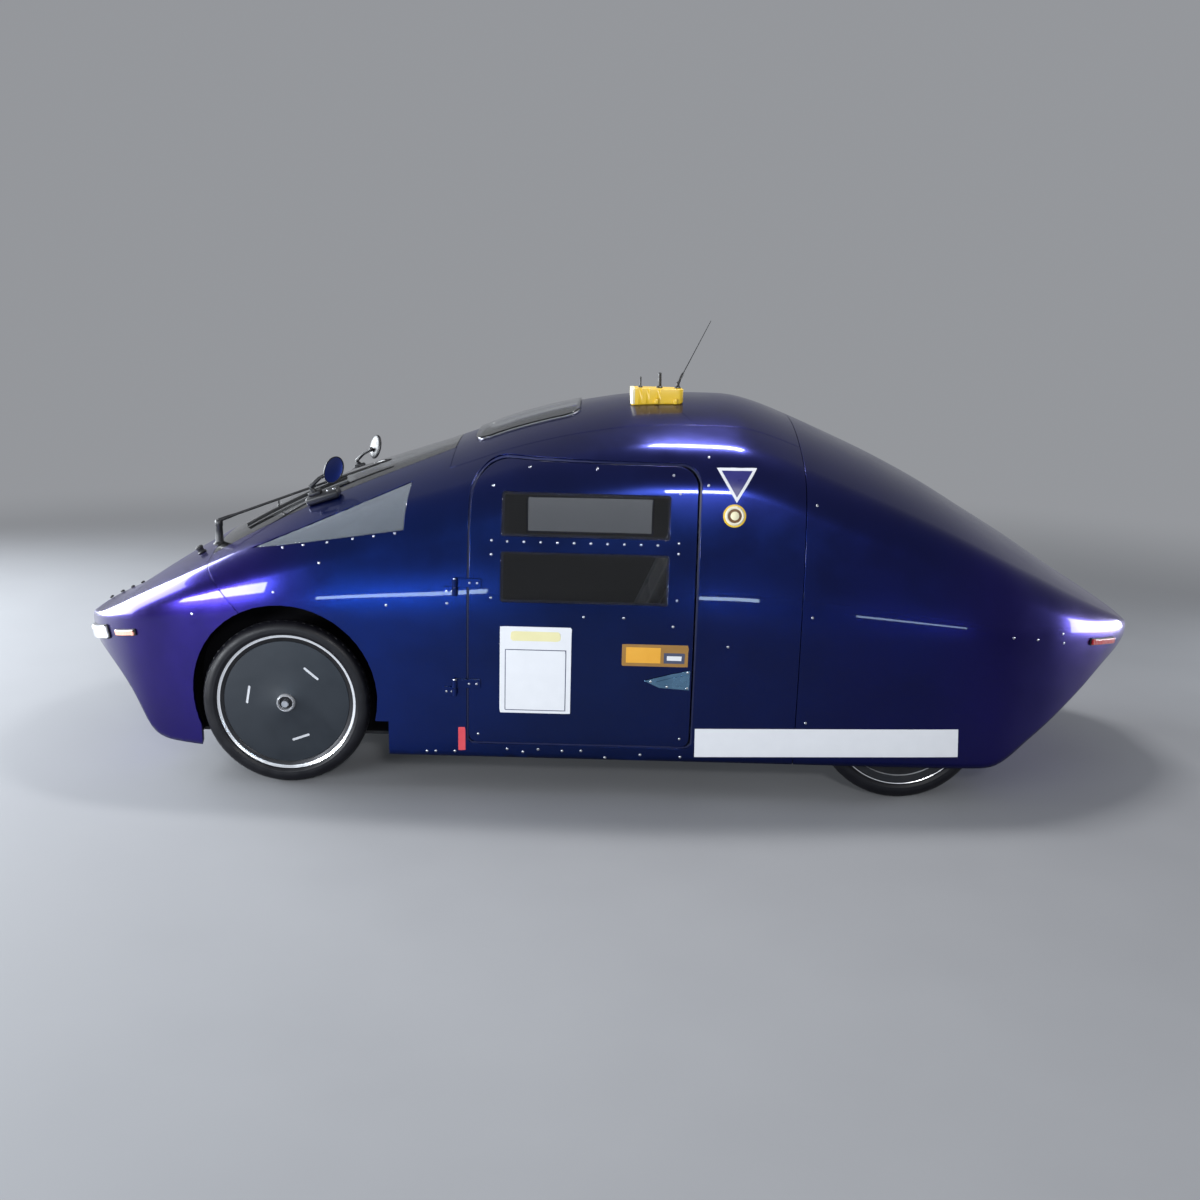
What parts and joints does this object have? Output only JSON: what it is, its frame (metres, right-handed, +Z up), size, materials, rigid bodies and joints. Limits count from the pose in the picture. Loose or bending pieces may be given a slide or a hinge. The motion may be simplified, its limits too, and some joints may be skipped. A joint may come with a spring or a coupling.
{
  "type": "streamlined one-seat four-wheel microcar",
  "caption": "Low streamlined one-seat enclosed microcar with steered front wheels, opening side doors, clear windscreen and skylight, and a long tapering tail.",
  "frame": {"origin": "on the floor under the middle of the body's length and width", "axes": "nose towards -X, the vehicle's right side towards +Y, +Z up"},
  "size_m": [3.38, 1.25, 1.3907],
  "materials": {
    "paint": "gloss blue that turns violet at nose and tail",
    "clear_glass": "clear, gloss",
    "tinted_glass": "dark tinted, gloss",
    "composite": "matt dark laminate",
    "black_plastic": "satin black",
    "tyre": "matt black rubber",
    "disc": "satin dark blue-black cover with a silver rim",
    "alloy": "bright machined alloy",
    "steel": "zinc-plated steel",
    "drive": "grey painted casing",
    "upholstery": "dark woven fabric",
    "yellow": "yellow moulded plastic",
    "headlamp": "white lens",
    "indicator": "amber-pink lens",
    "tail_lamp": "red lens"
  },
  "bodies": {
    "body": {"aerials": "black_plastic", "body_side_left": "paint", "body_side_right": "paint", "bulkhead": "composite", "dashboard": "black_plastic", "drive_unit": "drive", "floor_pan": "composite", "front_axle_beam": "steel", "front_wheel_house_left": "composite", "front_wheel_house_right": "composite", "headlamps": "headlamp", "hinge_mounts": "steel", "indicators": "indicator", "mirrors": "black_plastic", "nose_cowl": "paint", "quarter_window_left": "clear_glass", "quarter_window_right": "clear_glass", "rear_axle_beam": "steel", "roof_box": "yellow", "roof_panel": "paint", "seat": "upholstery", "skylight": "clear_glass", "steering_column": "steel", "stop_button": "yellow", "tail_cover": "paint", "tail_lamps": "tail_lamp", "windscreen": "clear_glass", "wiper": "black_plastic"},
    "door_left": {"door_panel_left": "paint", "door_windows_left": "tinted_glass", "door_hinges_left": "steel", "door_latch_left": "steel"},
    "door_right": {"door_panel_right": "paint", "door_windows_right": "tinted_glass", "door_hinges_right": "steel", "door_latch_right": "steel"},
    "steered_left": {"knuckle_left": "steel"},
    "steered_right": {"knuckle_right": "steel"},
    "wheel_front_left": {"tyre_front_left": "tyre", "wheel_disc_front_left": "disc"},
    "wheel_front_right": {"tyre_front_right": "tyre", "wheel_disc_front_right": "disc"},
    "wheel_rear_left": {"tyre_rear_left": "tyre", "wheel_disc_rear_left": "alloy"},
    "wheel_rear_right": {"tyre_rear_right": "tyre", "wheel_disc_rear_right": "alloy"},
    "track_rod": {"tie_rod": "steel"},
    "hand_wheel": {"steering_wheel": "black_plastic"}
  },
  "joints": [
    {"name": "steer_left", "type": "hinge", "parent": "body", "child": "steered_left", "pos_m": [-0.955, -0.49, 0.25], "axis": [0, 0, 1], "range_deg": [-20, 20]},
    {"name": "steer_right", "type": "hinge", "parent": "body", "child": "steered_right", "pos_m": [-0.955, 0.49, 0.25], "axis": [0, 0, 1], "range_deg": [-20, 20]},
    {"name": "tie_rod_pivot", "type": "hinge", "parent": "steered_left", "child": "track_rod", "pos_m": [-0.865, -0.49, 0.234], "axis": [0, 0, 1], "range_deg": [-20, 20]},
    {"name": "steering_wheel_turn", "type": "hinge", "parent": "body", "child": "hand_wheel", "pos_m": [-0.5, 0, 0.64], "axis": [0.9063, 0, 0.4226], "range_deg": [-90, 90]},
    {"name": "door_left_swing", "type": "hinge", "parent": "body", "child": "door_left", "pos_m": [-0.448, -0.617, 0.45], "axis": [0, 0, -1], "range_deg": [0, 70]},
    {"name": "door_right_swing", "type": "hinge", "parent": "body", "child": "door_right", "pos_m": [-0.448, 0.617, 0.45], "axis": [0, 0, 1], "range_deg": [0, 70]},
    {"name": "wheel_front_left_spin", "type": "hinge", "parent": "steered_left", "child": "wheel_front_left", "pos_m": [-0.955, -0.55, 0.25], "axis": [0, 1, 0], "continuous": true},
    {"name": "wheel_front_right_spin", "type": "hinge", "parent": "steered_right", "child": "wheel_front_right", "pos_m": [-0.955, 0.55, 0.25], "axis": [0, 1, 0], "continuous": true},
    {"name": "wheel_rear_left_spin", "type": "hinge", "parent": "body", "child": "wheel_rear_left", "pos_m": [0.877, -0.55, 0.25], "axis": [0, 1, 0], "continuous": true},
    {"name": "wheel_rear_right_spin", "type": "hinge", "parent": "body", "child": "wheel_rear_right", "pos_m": [0.877, 0.55, 0.25], "axis": [0, 1, 0], "continuous": true}
  ],
  "couplings": [
    {"joint": "steer_right", "follows": "steer_left", "ratio": 1},
    {"joint": "tie_rod_pivot", "follows": "steer_left", "ratio": -1},
    {"joint": "steering_wheel_turn", "follows": "steer_left", "ratio": 4.5}
  ]
}
